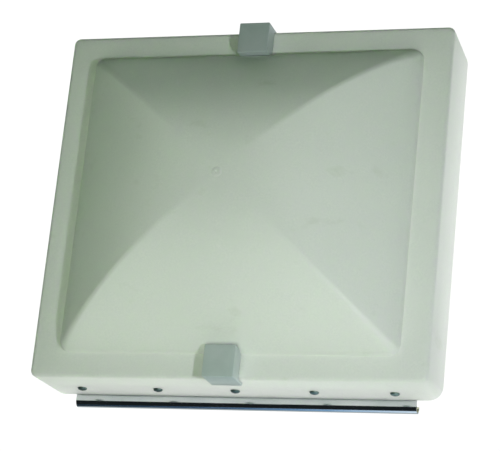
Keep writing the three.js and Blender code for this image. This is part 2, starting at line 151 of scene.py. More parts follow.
# ---- Sizes of the clips, rail, screws and shoe ----
CLIP_WIDTH = 32
CLIP_HEIGHT = 18
CLIP_ON_DOME = 4.5
CLIP_LIP = 2.2
CLIP_HOOK = 14
CLIP_WALL = 2.2
CLIP_CORNER = 1
CLIP_BEVEL = 0.5
CLIP_STEPS = 4
CAVITY_BEVEL = 0.8
BOSS_RADIUS = 4
RAIL_WIDTH = 24
RAIL_HEIGHT = 9
RAIL_SHEET = 1.2
RAIL_SLOT = 12
RAIL_END_GAP = 4
RAIL_BEND = 1.9  # outside radius of the rail's bends
RAIL_BEVEL = 0.18
RAIL_TOP = RIM_UNDERSIDE - GAP
RAIL_BOTTOM = RAIL_TOP - RAIL_HEIGHT
RAIL_FRONT = STRIP_FACE_Y + SHEET + RAIL_END_GAP
RAIL_REAR = HALF_LENGTH - WALL - RAIL_END_GAP
SCREW_INSETS = (11, 20)
SCREW_RADIUS = 1.6
SCREW_LENGTH = 12
SCREW_HEAD_RADIUS = 3.75
SCREW_HEAD_HEIGHT = 2.4
SCREW_THREAD = 0.32  # depth of the thread
SCREW_PITCH = 1.25
SCREW_CREST = SCREW_RADIUS - 0.05
SCREW_ROOT = SCREW_RADIUS - SCREW_THREAD
SCREW_SIDES = 36
SCREW_ROWS = 90
SCREW_MARGIN = 0.2  # plain length at each end of the threaded rows
SCREW_TIP = 0.3  # the taper would meet the axis this far past the screw's end
SCREW_TAPER = 2 * SCREW_RADIUS
THREAD_STEEPNESS = 4
HEAD_STEPS = 8
HEAD_FLAT = 0.55  # the flat of the pan head, as a share of its radius
HEAD_SIDE = 0.5  # height of the head where its dome ends
HEAD_EDGE = 0.15
RECESS_REACH = 1.9
RECESS_HALF = 0.42
RECESS_DEPTH = 1.3
SHOE_LENGTH = 34
SHOE_CORNER = 3
SHOE_PLAY = 0.4
SHOE_SOFT = 0.6  # how far the shoe's edges are softened
SOFT_MIDDLE = 0.3  # the middle of that softening, as a share
LUG_BEVEL = 0.6
NECK_BEVEL = 0.4
SHOE_AT = -70
NECK_WIDTH = 10
LUG_WIDTH = 8
LUG_LENGTH = 20
LUG_DROP = 15
LUG_HOLE_RADIUS = 4
LUG_STEPS = 40


# ---- Mesh tools ----
def closed_mesh(vertices, faces):
    """A mesh with its normals outwards."""
    mesh = bpy.data.meshes.new("shape")
    mesh.from_pydata(vertices, [], faces)
    tidy = bmesh.new()
    tidy.from_mesh(mesh)
    bmesh.ops.recalc_face_normals(tidy, faces=tidy.faces)
    tidy.to_mesh(mesh)
    tidy.free()
    return mesh


def moved(mesh, x=0, y=0, z=0):
    mesh.transform(Matrix.Translation((x, y, z)))
    return mesh


def turned_about(mesh, axis, degrees):
    mesh.transform(Matrix.Rotation(math.radians(degrees), 4, axis))
    return mesh


def combined(meshes):
    """Several meshes as one, with nothing joined or cut."""
    pool = bmesh.new()
    for mesh in meshes:
        pool.from_mesh(mesh)
        bpy.data.meshes.remove(mesh)
    result = bpy.data.meshes.new("shape")
    pool.to_mesh(result)
    pool.free()
    return result


def with_modifiers(mesh, add_modifiers):
    """The mesh as an object's modifiers leave it."""
    holder = bpy.data.objects.new("holder", mesh)
    scene.collection.objects.link(holder)
    add_modifiers(holder)
    graph = bpy.context.evaluated_depsgraph_get()
    result = bpy.data.meshes.new_from_object(holder.evaluated_get(graph))
    bpy.data.objects.remove(holder)
    bpy.data.meshes.remove(mesh)
    return result


def boolean(blank, tool, operation):
    helper = bpy.data.objects.new("tool", tool)
    scene.collection.objects.link(helper)

    def add(holder):
        step = holder.modifiers.new("boolean", "BOOLEAN")
        step.operation = operation
        step.solver = "EXACT"
        step.object = helper

    result = with_modifiers(blank, add)
    bpy.data.objects.remove(helper)
    bpy.data.meshes.remove(tool)
    return result


def cut(blank, *tools):
    return boolean(blank, combined(tools), "DIFFERENCE")


def joined(blank, *others):
    for other in others:
        blank = boolean(blank, other, "UNION")
    return blank


BEVEL_ABOVE = math.radians(40)  # edges that bend less than this are left as they are


def bevelled(mesh, width, segments=2):
    def add(holder):
        step = holder.modifiers.new("bevel", "BEVEL")
        step.width = width
        step.segments = segments
        step.limit_method = "ANGLE"
        step.angle_limit = BEVEL_ABOVE

    return with_modifiers(mesh, add)


def block(low, high):
    """A box from its low corner to its high one, for cutting or joining."""
    corners = list(itertools.product(*zip(low, high)))
    faces = [(0, 1, 3, 2), (4, 6, 7, 5), (0, 4, 5, 1), (2, 3, 7, 6), (0, 2, 6, 4), (1, 5, 7, 3)]
    return closed_mesh(corners, faces)


def turned(profile, sides=48):
    """A solid of revolution about Z from [radius, height] points that start and end on the axis."""
    vertices = []
    loops = []
    for radius, height in profile:
        if radius == 0:
            vertices.append((0, 0, height))
            loops.append([len(vertices) - 1] * sides)
            continue
        loops.append(list(range(len(vertices), len(vertices) + sides)))
        for side in range(sides):
            angle = side / sides * math.tau
            vertices.append((radius * math.cos(angle), radius * math.sin(angle), height))
    faces = []
    for lower, upper in zip(loops, loops[1:]):
        for side in range(sides):
            after = (side + 1) % sides
            face = [lower[side], lower[after], upper[after], upper[side]]
            corners = list(dict.fromkeys(face))
            if len(corners) > 2:
                faces.append(corners)
    return closed_mesh(vertices, faces)


def rod(radius, low, high, sides=40):
    return turned([(0, low), (radius, low), (radius, high), (0, high)], sides)


def arc(centre, radius, start, end, steps):
    """Points from one angle to another, in degrees, about a centre in the section's plane."""
    points = []
    for step in range(steps + 1):
        angle = math.radians(start + (end - start) * step / steps)
        points.append((centre[0] + radius * math.cos(angle), centre[1] + radius * math.sin(angle)))
    return points


def prism(section, length):
    """A section in (y, z) drawn out along X, centred on x = 0."""
    count = len(section)
    vertices = [(x, y, z) for x in (-length / 2, length / 2) for y, z in section]
    faces = [tuple(range(count)), tuple(range(count, 2 * count))]
    for point in range(count):
        after = (point + 1) % count
        faces.append((point, after, count + after, count + point))
    return closed_mesh(vertices, faces)


def row(count, pitch):
    return [(place - (count - 1) / 2) * pitch for place in range(count)]


# ---- Rings and lofts ----
ARC_POINTS = 8
SIDE_POINTS = 22
LIP_STEPS = 3
EDGE_STEPS = 8
DOME_RINGS = 46
RIM_CORNER_GAIN = 0.2  # how much a rim ring's corner radius grows for each mm away from the foot
RIM_STATIONS = (16, 10, 6, 3.5, 1.5, 0)  # rings on the rim, as distances from the dome's foot


def rounded_ring(half_width, half_length, radius, height):
    """A level rounded rectangle, with points along its straight sides too."""
    corners = []
    for corner, (sign_x, sign_y) in enumerate(((1, 1), (-1, 1), (-1, -1), (1, -1))):
        centre = (sign_x * (half_width - radius), sign_y * (half_length - radius))
        corners.append(arc(centre, radius, corner * 90, (corner + 1) * 90, ARC_POINTS))
    points = []
    for corner in range(4):
        points += corners[corner]
        start = Vector(corners[corner][-1])
        end = Vector(corners[(corner + 1) % 4][0])
        for step in range(1, SIDE_POINTS + 1):
            points.append(tuple(start.lerp(end, step / (SIDE_POINTS + 1))))
    return [(x, y, height) for x, y in points]


def loft(rings, top=None):
    """A closed solid through level rings; the top closes on one point, or flat without it."""
    loops = [rounded_ring(*ring) for ring in rings]
    count = len(loops[0])
    vertices = [point for loop in loops for point in loop]
    faces = [tuple(range(count))]
    for ring in range(len(loops) - 1):
        first = ring * count
        for point in range(count):
            after = (point + 1) % count
            faces.append((first + point, first + after, first + count + after, first + count + point))
    last = (len(loops) - 1) * count
    if top is None:
        faces.append(tuple(range(last, last + count)))
    else:
        vertices.append((0, 0, top))
        faces += [(last + point, last + (point + 1) % count, len(vertices) - 1) for point in range(count)]
    return closed_mesh(vertices, faces)


def lid_rings(grow, bottom, lip_round=0):
    """The lid's surface as rings from the skirt to near the apex, moved outwards by grow."""
    rings = []
    for step in range(LIP_STEPS + 1):
        angle = step / LIP_STEPS * math.pi / 2
        inset = lip_round * (1 - math.sin(angle))
        height = bottom + lip_round * (1 - math.cos(angle))
        if lip_round or step == 0:
            wide = (HALF_WIDTH + grow - inset, HALF_LENGTH + grow - inset, CORNER_FOOT + grow - inset)
            rings.append((*wide, height))
    for step in range(EDGE_STEPS + 1):
        angle = step / EDGE_STEPS * math.pi / 2
        reach = (EDGE_RADIUS + grow) * math.cos(angle) - EDGE_RADIUS
        height = RIM_TOP - EDGE_RADIUS + (EDGE_RADIUS + grow) * math.sin(angle)
        rings.append((HALF_WIDTH + reach, HALF_LENGTH + reach, CORNER_RADIUS + reach, height))
    foot_width = HALF_WIDTH - RIM_SIDE + grow
    foot_length = HALF_LENGTH - RIM_END + grow
    for beyond in RIM_STATIONS:
        corner = DOME_FOOT_RADIUS + DOME_STEP_RUN + grow + beyond * RIM_CORNER_GAIN
        rings.append((foot_width + beyond, foot_length + beyond, corner, RIM_TOP + grow))
    rise_of_faces = DOME_HEIGHT - DOME_STEP
    for step in range(DOME_RINGS + 1):
        part = math.cos(step / (DOME_RINGS + 1) * math.pi / 2)
        rise = rise_of_faces * (1 - part**DOME_POWER)
        steepness = math.atan(rise_of_faces * DOME_POWER * part ** (DOME_POWER - 1) / DOME_HALF_WIDTH)
        outwards = grow * math.sin(steepness)
        corner = RIDGE_RADIUS + (DOME_FOOT_RADIUS - RIDGE_RADIUS) * part**RIDGE_BLEND
        half_width = DOME_HALF_WIDTH * part + outwards
        half_length = DOME_HALF_LENGTH * part + outwards
        most = min(half_width * LARGEST_CORNER, half_length * LARGEST_CORNER)
        corner = min(max(corner + outwards, SMALLEST_RADIUS), most)
        height = RIM_TOP + DOME_STEP + rise + grow * math.cos(steepness)
        rings.append((half_width, half_length, corner, height))
    return rings


def lid_body(grow, bottom, lip_round=0):
    return loft(lid_rings(grow, bottom, lip_round), RIM_TOP + DOME_HEIGHT + grow)


# ---- Pieces ----
def every_screw():
    return [(end, end * (HALF_LENGTH - inset)) for end in (-1, 1) for inset in SCREW_INSETS]


def foot_notch(grow):
    foot = HALF_LENGTH - RIM_END
    low = (NOTCH_FROM - grow, foot - NOTCH_DEPTH - grow, RIM_TOP - grow)
    return block(low, (NOTCH_TO + grow, foot + PAST, RIM_TOP + NOTCH_HEIGHT))


def rivet_hole(x):
    hole = rod(RIVET_SHANK_RADIUS + GAP, -HALF_LENGTH - PAST, STRIP_FACE_Y + SHEET + PAST)
    return moved(turned_about(hole, "X", -90), x, 0, RIVET_Z)


def rivet_holes():
    return [rivet_hole(x) for x in row(RIVET_COUNT, RIVET_PITCH)]


def screw_holes(low, high):
    return [moved(rod(SCREW_RADIUS + GAP, low, high), 0, y) for _, y in every_screw()]


def lid_shell():
    hollow = cut(lid_body(-WALL, SKIRT_BOTTOM - PAST), foot_notch(WALL))
    base = RIM_TOP + DOME_HEIGHT - GATE_SINK
    gate = turned([(GATE_RADIUS * across, base + GATE_HEIGHT * up) for across, up in GATE_PROFILE])
    solid = joined(lid_body(0, SKIRT_BOTTOM, LIP_ROUND), gate)
    shell = cut(solid, hollow)
    holes = rivet_holes() + screw_holes(RIM_UNDERSIDE - PAST, RIM_TOP + PAST)
    return cut(shell, foot_notch(0), *holes)


def hinge_lid_strip():
    inner = ROLL_RADIUS - SHEET
    roll = (ROLL_Y, ROLL_Z)
    bend = (STRIP_FACE_Y + SHEET - BEND_RADIUS, ROLL_Z + inner + BEND_RADIUS)
    top = SKIRT_BOTTOM + STRIP_HEIGHT
    section = arc(bend, BEND_RADIUS, -90, 0, BEND_STEPS)
    section += [(STRIP_FACE_Y + SHEET, top), (STRIP_FACE_Y, top)]
    section += arc(bend, BEND_RADIUS - SHEET, 0, -90, BEND_STEPS)
    section += arc(roll, ROLL_RADIUS, 90, 90 + ROLL_WRAP, ROLL_STEPS)
    section += arc(roll, inner, 90 + ROLL_WRAP, 90, ROLL_STEPS)
    trims = []
    for side in (-1, 1):
        ends = sorted((side * ROLL_LENGTH / 2, side * STRIP_LENGTH))
        low = (ends[0], ROLL_Y - ROLL_RADIUS - PAST, -PAST)
        trims.append(block(low, (ends[1], TRIM_UNDER - HALF_LENGTH, SKIRT_BOTTOM)))
    return cut(prism(section, STRIP_LENGTH), *trims, *rivet_holes())


def hinge_base_strip():
    half = BASE_SHEET / 2
    web_z = ROLL_Z + WEB_REACH * math.tan(math.radians(WEB_ANGLE))
    lean = (math.sin(math.radians(WEB_ANGLE)) * half, math.cos(math.radians(WEB_ANGLE)) * half)
    flange_y = ROLL_Y + COLLAR_REACH
    outer = half + BASE_SHEET * BASE_BEND
    bend = (flange_y + half - outer, web_z - half + outer)
    section = [(ROLL_Y + lean[0], ROLL_Z - lean[1]), (ROLL_Y + WEB_REACH, web_z - half)]
    section += arc(bend, outer, -90, 0, BASE_BEND_STEPS)
    section += [(flange_y + half, ROLL_Z + BASE_FLANGE_TOP), (flange_y - half, ROLL_Z + BASE_FLANGE_TOP)]
    section += [(flange_y - half, web_z + half), (ROLL_Y + WEB_REACH, web_z + half)]
    section += [(ROLL_Y - lean[0], ROLL_Z + lean[1])]
    half_length = BASE_LENGTH / 2
    bead = turned_about(rod(BEAD_RADIUS, -half_length, half_length, BEAD_SIDES), "Y", 90)
    moved(bead, 0, ROLL_Y, ROLL_Z)
    cores = []
    for side in (-1, 1):
        core = turned_about(rod(CORE_RADIUS, -CORE_DEPTH, CORE_DEPTH, SMALL_SIDES), "Y", 90)
        cores.append(moved(core, side * half_length, ROLL_Y, ROLL_Z + CORE_RISE))
    hole_z = (web_z + ROLL_Z + BASE_FLANGE_TOP) / 2
    holes = []
    for x in row(BASE_HOLE_COUNT, BASE_HOLE_PITCH):
        hole = rod(BASE_HOLE_RADIUS, flange_y - half - PAST, flange_y + half + PAST)
        holes.append(moved(turned_about(hole, "X", -90), x, 0, hole_z))
    return cut(joined(prism(section, BASE_LENGTH), bead), *cores, *holes)


def as_rivet(mesh, x):
    return moved(turned_about(mesh, "X", -90), x, -HALF_LENGTH - GAP / 2, RIVET_Z)


def rivet(x):
    head = [(RIVET_BORE_RADIUS, -RIVET_HEAD_HEIGHT + RIVET_BORE_BREAK)]
    head += [(RIVET_BORE_RADIUS + RIVET_BORE_BREAK, -RIVET_HEAD_HEIGHT)]
    dome_from = RIVET_BORE_RADIUS + RIVET_BORE_LIP
    for step in range(RIVET_HEAD_STEPS + 1):
        angle = step / RIVET_HEAD_STEPS * math.pi / 2
        radius = dome_from + (RIVET_HEAD_RADIUS - RIVET_HEAD_DRAW - dome_from) * math.sin(angle)
        head.append((radius, -RIVET_HEAD_RIM - (RIVET_HEAD_HEIGHT - RIVET_HEAD_RIM) * math.cos(angle)))
    head += [(RIVET_HEAD_RADIUS, -RIVET_HEAD_FOOT), (RIVET_HEAD_RADIUS, 0)]
    bulb = []
    for step in range(RIVET_BULB_STEPS + 1):
        share = step / RIVET_BULB_STEPS
        swell = math.sin(math.pi * (RIVET_BULB_FROM + RIVET_BULB_SPAN * share)) ** RIVET_BULB_POWER
        bulb.append((RIVET_BULB_RADIUS * swell, GRIP + RIVET_BULB_LENGTH * share))
    end = GRIP + RIVET_BULB_LENGTH
    bore_end = end - RIVET_TAIL
    profile = [(0, bore_end), (RIVET_BORE_RADIUS, bore_end), *head, (RIVET_SHANK_RADIUS, 0)]
    profile += [(RIVET_SHANK_RADIUS, GRIP), *bulb, (0, end)]
    return as_rivet(turned(profile), x)


def mandrel(x):
    """The pin left in the rivet, necked where it snapped."""
    snapped = MANDREL_RECESS - RIVET_HEAD_HEIGHT
    end = GRIP + RIVET_BULB_LENGTH - RIVET_TAIL - GAP
    profile = [(MANDREL_RADIUS * share, snapped + along) for share, along in MANDREL_BREAK]
    profile += [(MANDREL_RADIUS * share, end + along) for share, along in MANDREL_END]
    return as_rivet(turned(profile, SMALL_SIDES), x)


def edge_clip(end):
    outer_y = HALF_LENGTH + GAP + CLIP_LIP
    inner_y = HALF_LENGTH - RIM_END - CLIP_ON_DOME
    middle_y = (outer_y + inner_y) / 2
    half_width = CLIP_WIDTH / 2
    half_length = (outer_y - inner_y) / 2
    top = RIM_TOP + CLIP_HEIGHT
    bottom = RIM_TOP - CLIP_HOOK
    rings = []
    for step in range(CLIP_STEPS + 1):
        angle = step / CLIP_STEPS * math.pi / 2
        inset = CLIP_BEVEL * (1 - math.sin(angle))
        height = bottom + CLIP_BEVEL * (1 - math.cos(angle))
        rings.append((half_width - inset, half_length - inset, CLIP_CORNER - inset, height))
    rings += [(*ring[:3], bottom + top - ring[3]) for ring in reversed(rings)]
    outside = moved(loft(rings), 0, middle_y)
    low = (CLIP_WALL - half_width, inner_y + CLIP_WALL, bottom - PAST)
    high = (half_width - CLIP_WALL, HALF_LENGTH - PAST, top - CLIP_WALL)
    cavity = bevelled(block(low, high), CAVITY_BEVEL, segments=3)
    tip = RAIL_TOP - RAIL_SHEET - GAP + SCREW_LENGTH
    places = [HALF_LENGTH - inset for inset in SCREW_INSETS]
    bosses = [moved(rod(BOSS_RADIUS, RIM_TOP - PAST, top - PAST), 0, y) for y in places]
    bores = [moved(rod(SCREW_RADIUS + GAP, RIM_TOP - 2 * PAST, tip + GAP), 0, y) for y in places]
    clip = joined(cut(outside, cavity), *bosses)
    clip = cut(cut(clip, lid_body(GAP, SKIRT_BOTTOM)), *bores)
    return clip if end > 0 else turned_about(clip, "Z", 180)


def lift_rail():
    """A channel of bent sheet, open below."""
    half = RAIL_WIDTH / 2
    slot = RAIL_SLOT / 2
    inner = RAIL_BEND - RAIL_SHEET
    low = RAIL_BOTTOM + RAIL_BEND
    high = RAIL_TOP - RAIL_BEND
    side = half - RAIL_BEND
    section = [(slot, RAIL_BOTTOM)]
    section += arc((side, low), RAIL_BEND, -90, 0, BEND_STEPS)
    section += arc((side, high), RAIL_BEND, 0, 90, BEND_STEPS)
    section += arc((-side, high), RAIL_BEND, 90, 180, BEND_STEPS)
    section += arc((-side, low), RAIL_BEND, 180, 270, BEND_STEPS)
    section += [(-slot, RAIL_BOTTOM), (-slot, RAIL_BOTTOM + RAIL_SHEET)]
    section += arc((-side, low), inner, 270, 180, BEND_STEPS)
    section += arc((-side, high), inner, 180, 90, BEND_STEPS)
    section += arc((side, high), inner, 90, 0, BEND_STEPS)
    section += arc((side, low), inner, 0, -90, BEND_STEPS)
    section += [(slot, RAIL_BOTTOM + RAIL_SHEET)]
    rail = turned_about(prism(section, RAIL_REAR - RAIL_FRONT), "Z", 90)
    moved(rail, 0, (RAIL_FRONT + RAIL_REAR) / 2)
    return bevelled(cut(rail, *screw_holes(RAIL_TOP - RAIL_SHEET - PAST, RAIL_TOP + PAST)), RAIL_BEVEL)


def rail_screw(y):
    """A self-tapping screw that points up, with a pan head, a cross recess and a helical thread."""
    seat = RAIL_TOP - RAIL_SHEET - GAP
    profile = [(0, -SCREW_HEAD_HEIGHT)]
    for step in range(HEAD_STEPS + 1):
        angle = step / HEAD_STEPS * math.pi / 2
        radius = SCREW_HEAD_RADIUS * (HEAD_FLAT + (1 - HEAD_FLAT) * math.sin(angle))
        profile.append((radius, -HEAD_SIDE - (SCREW_HEAD_HEIGHT - HEAD_SIDE) * math.cos(angle)))
    profile += [(SCREW_HEAD_RADIUS, -HEAD_EDGE), (SCREW_HEAD_RADIUS - HEAD_EDGE, 0), (SCREW_ROOT, 0)]
    threaded = SCREW_LENGTH - 2 * SCREW_MARGIN
    profile += [(SCREW_ROOT, SCREW_MARGIN + threaded * step / SCREW_ROWS) for step in range(SCREW_ROWS + 1)]
    screw = turned(profile + [(0, SCREW_LENGTH)], SCREW_SIDES)
    for vertex in screw.vertices:
        x, y_here, z = vertex.co
        radius = math.hypot(x, y_here)
        if z > SCREW_MARGIN / 2 and radius > SCREW_ROOT / 2:
            phase = (z / SCREW_PITCH - math.atan2(y_here, x) / math.tau) % 1
            ridge = max(0, 1 - abs(phase - 0.5) * THREAD_STEEPNESS)
            taper = min(1, (SCREW_LENGTH + SCREW_TIP - z) / SCREW_TAPER)
            wanted = (SCREW_ROOT + (SCREW_CREST - SCREW_ROOT) * ridge) * taper
            vertex.co = (x * wanted / radius, y_here * wanted / radius, z)
    low = (-RECESS_REACH, -RECESS_HALF, -SCREW_HEAD_HEIGHT - PAST)
    high = (RECESS_REACH, RECESS_HALF, RECESS_DEPTH - SCREW_HEAD_HEIGHT)
    arms = [turned_about(block(low, high), "Z", degrees) for degrees in (0, 90)]
    return moved(cut(cut(screw, arms[0]), arms[1]), 0, y, seat)


def lift_shoe():
    half_width = RAIL_WIDTH / 2 - RAIL_SHEET - SHOE_PLAY
    floor = RAIL_BOTTOM + RAIL_SHEET + SHOE_PLAY
    ceiling = RAIL_TOP - RAIL_SHEET - SHOE_PLAY
    middle_soft = SHOE_SOFT * SOFT_MIDDLE
    rings = []
    for inset, rise in ((SHOE_SOFT, 0), (middle_soft, middle_soft), (0, SHOE_SOFT)):
        rings.append((half_width - inset, SHOE_LENGTH / 2 - inset, SHOE_CORNER - inset, floor + rise))
    rings += [(*ring[:3], floor + ceiling - ring[3]) for ring in reversed(rings)]
    half_lug = LUG_LENGTH / 2
    middle = RAIL_BOTTOM - LUG_DROP + half_lug
    side = [(half_lug, floor + PAST), (-half_lug, floor + PAST)]
    side += arc((0, middle), half_lug, 180, 360, LUG_STEPS)
    lug = bevelled(prism(side, LUG_WIDTH), LUG_BEVEL, segments=3)
    half_neck = NECK_WIDTH / 2
    neck = block((-half_neck, -half_lug, RAIL_BOTTOM - PAST), (half_neck, half_lug, floor + PAST))
    pin = turned_about(rod(LUG_HOLE_RADIUS, -LUG_WIDTH, LUG_WIDTH), "Y", 90)
    shoe = cut(joined(loft(rings), bevelled(neck, NECK_BEVEL), lug), moved(pin, 0, 0, middle))
    return moved(shoe, 0, SHOE_AT)


# ---- Materials ----
SEED_SHIFT_Y = 0.37  # a noise's seed moves it along X, and by these shares of it along Y and Z
SEED_SHIFT_Z = 0.71


class Nodes:
    """A material's node tree, with its shader and a few shorthands."""

    def __init__(self, name, **settings):
        self.material = bpy.data.materials.new(name + FINE)
        self.material.use_nodes = True
        self.tree = self.material.node_tree
        self.shader = self.tree.nodes["Principled BSDF"]
        for socket, value in settings.items():
            self.shader.inputs[socket.replace("_", " ")].default_value = value
        self.place = self.add("ShaderNodeTexCoord").outputs["Object"]

    def add(self, kind, **settings):
        node = self.tree.nodes.new(kind)
        for key, value in settings.items():
            setattr(node, key, value)
        return node

    def feed(self, source, target):
        self.tree.links.new(source, target)

    def noise(self, scale, detail=2, stretch=(1, 1, 1), roughness=0.5, seed=0):
        """Noise at a scale in cells per metre, stretched along the axes."""
        mapping = self.add("ShaderNodeMapping")
        mapping.inputs["Scale"].default_value = stretch
        mapping.inputs["Location"].default_value = (seed, seed * SEED_SHIFT_Y, seed * SEED_SHIFT_Z)
        self.feed(self.place, mapping.inputs["Vector"])
        noise = self.add("ShaderNodeTexNoise")
        noise.inputs["Scale"].default_value = scale
        noise.inputs["Detail"].default_value = detail
        noise.inputs["Roughness"].default_value = roughness
        self.feed(mapping.outputs["Vector"], noise.inputs["Vector"])
        return noise.outputs["Fac"]

    def spread(self, source, low, high, to_low=0.0, to_high=1.0):
        """The source's range from low to high, spread over another range."""
        node = self.add("ShaderNodeMapRange")
        limits = (("From Min", low), ("From Max", high), ("To Min", to_low), ("To Max", to_high))
        for socket, value in limits:
            node.inputs[socket].default_value = value
        self.feed(source, node.inputs["Value"])
        return node.outputs["Result"]

    def mixed(self, share, first, second):
        """A colour between two colours; each is a tuple or a socket."""
        node = self.add("ShaderNodeMix", data_type="RGBA")
        self.feed(share, node.inputs["Factor"])
        colour_sockets = [s for s in node.inputs if s.type == "RGBA"]
        for socket, value in zip(colour_sockets, (first, second)):
            if isinstance(value, tuple):
                socket.default_value = (*value, 1)
            else:
                self.feed(value, socket)
        return [s for s in node.outputs if s.type == "RGBA"][0]

    def bump(self, source, distance, strength=1.0, after=None):
        node = self.add("ShaderNodeBump")
        node.inputs["Distance"].default_value = distance
        node.inputs["Strength"].default_value = strength
        self.feed(source, node.inputs["Height"])
        if after is not None:
            self.feed(after, node.inputs["Normal"])
        self.feed(node.outputs["Normal"], self.shader.inputs["Normal"])
        return node.outputs["Normal"]

    def attribute(self, name):
        return self.add("ShaderNodeAttribute", attribute_name=name).outputs["Fac"]

    def colour(self, source):
        self.feed(source, self.shader.inputs["Base Color"])

    def roughness(self, source):
        self.feed(source, self.shader.inputs["Roughness"])


def lid_plastic():
    n = Nodes("lid_plastic", Subsurface_Weight=0.8, Subsurface_Scale=0.003, IOR=1.49)
    n.shader.inputs["Subsurface Radius"].default_value = (1.0, 1.1, 0.95)
    n.shader.inputs["Specular IOR Level"].default_value = 0.35
    clouds = n.spread(n.noise(9, 3), 0.35, 0.65)
    cloudy = n.mixed(clouds, (0.775, 0.805, 0.765), (0.80, 0.825, 0.79))
    specks = n.spread(n.noise(520, 2, seed=3), 0.3, 0.7)
    speckled = n.mixed(specks, (0.76, 0.79, 0.755), (0.815, 0.84, 0.80))
    base = n.mixed(n.spread(n.noise(60, 2, seed=5), 0.2, 0.8), cloudy, speckled)
    stains = n.spread(n.noise(26, 4, (1, 1.6, 1), 0.6, seed=8), 0.63, 0.78, 0, 0.35)
    stained = n.mixed(stains, base, (0.60, 0.64, 0.55))
    # A paler colour is painted round the dome's foot: a painted highlight along the foot.
    n.colour(n.mixed(n.attribute("painted_foot_sheen"), stained, (0.84, 0.86, 0.82)))
    n.roughness(n.spread(n.noise(75, 4, seed=2), 0.3, 0.7, 0.42, 0.56))
    waves = n.bump(n.noise(11, 2, seed=6), 0.0012, 0.35)
    n.bump(n.noise(900, 2), 0.00012, 0.5, after=waves)
    return n.material


def clear_plastic():
    n = Nodes("clear_plastic", Transmission_Weight=0.3, IOR=1.49)
    n.shader.inputs["Coat Weight"].default_value = 0.6
    n.shader.inputs["Coat Roughness"].default_value = 0.08
    n.colour(n.mixed(n.spread(n.noise(40, 3), 0.3, 0.7), (0.66, 0.79, 0.74), (0.78, 0.89, 0.85)))
    n.roughness(n.spread(n.noise(240, 3, seed=4), 0.3, 0.7, 0.28, 0.42))
    n.bump(n.noise(420, 2, seed=1), 0.00006, 0.4)
    return n.material


def plated_steel():
    n = Nodes("plated_steel", Metallic=1.0)
    n.colour(n.mixed(n.spread(n.noise(45, 3), 0.3, 0.7), (0.70, 0.75, 0.78), (0.83, 0.86, 0.88)))
    streaks = n.noise(90, 3, (0.06, 1, 1), seed=2)
    n.roughness(n.spread(streaks, 0.3, 0.7, 0.07, 0.17))
    n.bump(streaks, 0.00006, 0.5)
    return n.material


def passivated_steel():
    n = Nodes("passivated_steel", Metallic=0.75)
    n.colour(n.mixed(n.spread(n.noise(60, 4), 0.3, 0.7), (0.30, 0.28, 0.12), (0.44, 0.42, 0.22)))
    n.roughness(n.spread(n.noise(300, 3, seed=2), 0.3, 0.7, 0.35, 0.55))
    n.bump(n.noise(700, 2), 0.00005, 0.4)
    return n.material


def rivet_metal():
    n = Nodes("rivet_metal", Metallic=0.9)
    # The dark green colour is a painted reflection of dark surroundings; the rivets themselves are bright
    # metal.
    n.colour(n.mixed(n.spread(n.noise(350, 3), 0.3, 0.7), (0.16, 0.24, 0.20), (0.27, 0.35, 0.31)))
    n.roughness(n.spread(n.noise(900, 2, seed=3), 0.3, 0.7, 0.3, 0.48))
    n.bump(n.noise(1100, 2), 0.00006, 0.5)
    return n.material


def mandrel_steel():
    n = Nodes("mandrel_steel", Metallic=1.0)
    n.colour(n.mixed(n.noise(1500, 3), (0.25, 0.25, 0.24), (0.5, 0.5, 0.48)))
    n.roughness(n.spread(n.noise(2500, 2, seed=3), 0.3, 0.7, 0.35, 0.6))
    n.bump(n.noise(3000, 3), 0.00008, 0.7)
    return n.material


def galvanised():
    n = Nodes("rail_metal", Metallic=1.0)
    cells = n.add("ShaderNodeTexVoronoi", feature="F1")
    cells.inputs["Scale"].default_value = 110
    n.feed(n.place, cells.inputs["Vector"])
    grey = n.add("ShaderNodeSeparateColor")
    n.feed(cells.outputs["Color"], grey.inputs["Color"])
    spangle = grey.outputs["Red"]
    n.colour(n.mixed(spangle, (0.52, 0.55, 0.57), (0.72, 0.75, 0.77)))
    n.roughness(n.spread(spangle, 0, 1, 0.28, 0.5))
    n.bump(n.noise(500, 3), 0.00006, 0.4)
    return n.material


def screw_steel():
    n = Nodes("screw_steel", Metallic=1.0)
    n.colour(n.mixed(n.noise(500, 3), (0.5, 0.52, 0.52), (0.7, 0.72, 0.73)))
    n.roughness(n.spread(n.noise(1200, 2, seed=3), 0.3, 0.7, 0.2, 0.42))
    n.bump(n.noise(1500, 2), 0.00004, 0.4)
    return n.material


def nylon():
    n = Nodes("nylon", Subsurface_Weight=0.3, Subsurface_Scale=0.002)
    n.colour(n.mixed(n.spread(n.noise(120, 3), 0.3, 0.7), (0.76, 0.74, 0.65), (0.84, 0.82, 0.74)))
    n.roughness(n.spread(n.noise(300, 3, seed=3), 0.3, 0.7, 0.38, 0.55))
    n.bump(n.noise(800, 2), 0.00007, 0.5)
    return n.material


# ---- Putting the pieces in place ----
SHARP = math.radians(34)  # edges that bend more than this are drawn sharp
WELD = 0.002  # mm between points that count as one


def put(name, mesh, material, body="lid"):
    """Makes a finished mesh the piece that stands for the CAD node of that name."""
    moved(mesh, 0, LID_CENTRE_Y)
    mesh.transform(Matrix.Scale(MM, 4))
    tidy = bmesh.new()
    tidy.from_mesh(mesh)
    bmesh.ops.remove_doubles(tidy, verts=tidy.verts, dist=WELD * MM)
    bmesh.ops.dissolve_degenerate(tidy, edges=tidy.edges, dist=WELD * MM)
    for face in tidy.faces:
        face.smooth = True
    for edge in tidy.edges:
        edge.smooth = len(edge.link_faces) == 2 and edge.calc_face_angle() < SHARP
    tidy.to_mesh(mesh)
    tidy.free()
    mesh.name = name
    mesh.materials.clear()
    mesh.materials.append(material)
    piece = bpy.data.objects.new(name + FINE, mesh)
    scene.collection.objects.link(piece)
    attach(piece, body)
    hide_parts(name)
    return piece
